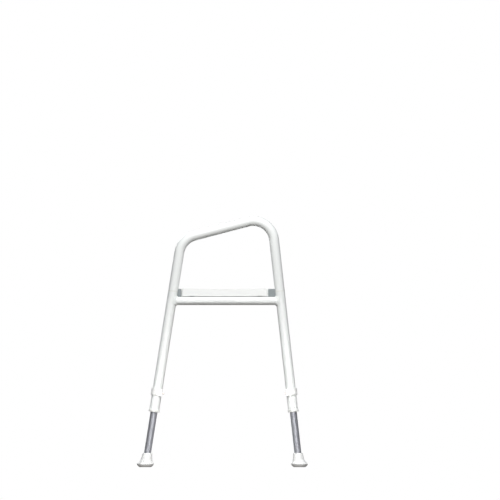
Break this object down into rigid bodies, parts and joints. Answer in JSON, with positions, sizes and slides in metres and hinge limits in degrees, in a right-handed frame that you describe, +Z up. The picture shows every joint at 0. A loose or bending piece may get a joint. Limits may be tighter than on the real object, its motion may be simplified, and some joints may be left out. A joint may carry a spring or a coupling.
{
  "type": "shower stool",
  "caption": "Free-standing shower stool: dished moulded seat clipped on a white tube frame, sloping armrest loops, splayed telescopic legs with locking clips and flared feet.",
  "frame": {"origin": "on the floor, in the middle of the feet", "axes": "+X to the front, where the user faces; +Y to the user's left; +Z up"},
  "size_m": [0.49, 0.499, 0.7177],
  "materials": {
    "painted_tube": "white powder coat, satin gloss, on aluminium tube",
    "anodised_tube": "satin anodised, drawn lengthwise",
    "seat_plastic": "moulded polypropylene, fine texture",
    "white_plastic": "moulded nylon, satin",
    "clip_plastic": "moulded acetal, satin",
    "grey_plastic": "moulded polypropylene, satin",
    "foot_rubber": "moulded white elastomer, matt",
    "steel": "stainless, plain turned"
  },
  "bodies": {
    "frame": {"arm_loop_left": "painted_tube", "side_rail_left": "painted_tube", "arm_loop_right": "painted_tube", "side_rail_right": "painted_tube", "cross_member_front": "painted_tube", "cross_member_rear": "painted_tube", "rail_welds": "painted_tube", "cross_member_welds": "painted_tube", "leg_tube_front_left": "painted_tube", "loop_connector_front_left": "white_plastic", "leg_bush_front_left": "white_plastic", "corner_block_front_left": "grey_plastic", "leg_tube_front_right": "painted_tube", "loop_connector_front_right": "white_plastic", "leg_bush_front_right": "white_plastic", "corner_block_front_right": "grey_plastic", "leg_tube_rear_left": "painted_tube", "loop_connector_rear_left": "white_plastic", "leg_bush_rear_left": "white_plastic", "corner_block_rear_left": "grey_plastic", "leg_tube_rear_right": "painted_tube", "loop_connector_rear_right": "white_plastic", "leg_bush_rear_right": "white_plastic", "corner_block_rear_right": "grey_plastic"},
    "leg_front_left": {"extension_tube_front_left": "anodised_tube", "guide_plug_front_left": "white_plastic", "foot_front_left": "foot_rubber", "foot_washer_front_left": "steel"},
    "clip_front_left": {"lock_clip_front_left": "clip_plastic", "lock_pin_front_left": "steel"},
    "leg_front_right": {"extension_tube_front_right": "anodised_tube", "guide_plug_front_right": "white_plastic", "foot_front_right": "foot_rubber", "foot_washer_front_right": "steel"},
    "clip_front_right": {"lock_clip_front_right": "clip_plastic", "lock_pin_front_right": "steel"},
    "leg_rear_left": {"extension_tube_rear_left": "anodised_tube", "guide_plug_rear_left": "white_plastic", "foot_rear_left": "foot_rubber", "foot_washer_rear_left": "steel"},
    "clip_rear_left": {"lock_clip_rear_left": "clip_plastic", "lock_pin_rear_left": "steel"},
    "leg_rear_right": {"extension_tube_rear_right": "anodised_tube", "guide_plug_rear_right": "white_plastic", "foot_rear_right": "foot_rubber", "foot_washer_rear_right": "steel"},
    "clip_rear_right": {"lock_clip_rear_right": "clip_plastic", "lock_pin_rear_right": "steel"},
    "seat": {"seat": "seat_plastic"}
  },
  "joints": [
    {"name": "height_front_left", "type": "slide", "parent": "frame", "child": "leg_front_left", "axis": [-0.111, 0, 0.9938], "range_m": [-0.05, 0.1]},
    {"name": "height_front_right", "type": "slide", "parent": "frame", "child": "leg_front_right", "axis": [-0.111, 0, 0.9938], "range_m": [-0.05, 0.1]},
    {"name": "height_rear_left", "type": "slide", "parent": "frame", "child": "leg_rear_left", "axis": [0.1564, 0, 0.9877], "range_m": [-0.05, 0.1]},
    {"name": "height_rear_right", "type": "slide", "parent": "frame", "child": "leg_rear_right", "axis": [0.1564, 0, 0.9877], "range_m": [-0.05, 0.1]},
    {"name": "unclip_front_left", "type": "slide", "parent": "frame", "child": "clip_front_left", "axis": [0.9938, 0, 0.111], "range_m": [0, 0.045]},
    {"name": "unclip_front_right", "type": "slide", "parent": "frame", "child": "clip_front_right", "axis": [0.9938, 0, 0.111], "range_m": [0, 0.045]},
    {"name": "unclip_rear_left", "type": "slide", "parent": "frame", "child": "clip_rear_left", "axis": [-0.9877, 0, 0.1564], "range_m": [0, 0.045]},
    {"name": "unclip_rear_right", "type": "slide", "parent": "frame", "child": "clip_rear_right", "axis": [-0.9877, 0, 0.1564], "range_m": [0, 0.045]},
    {"name": "seat_lift", "type": "slide", "parent": "frame", "child": "seat", "axis": [0, 0, 1], "range_m": [0, 0.04]}
  ]
}
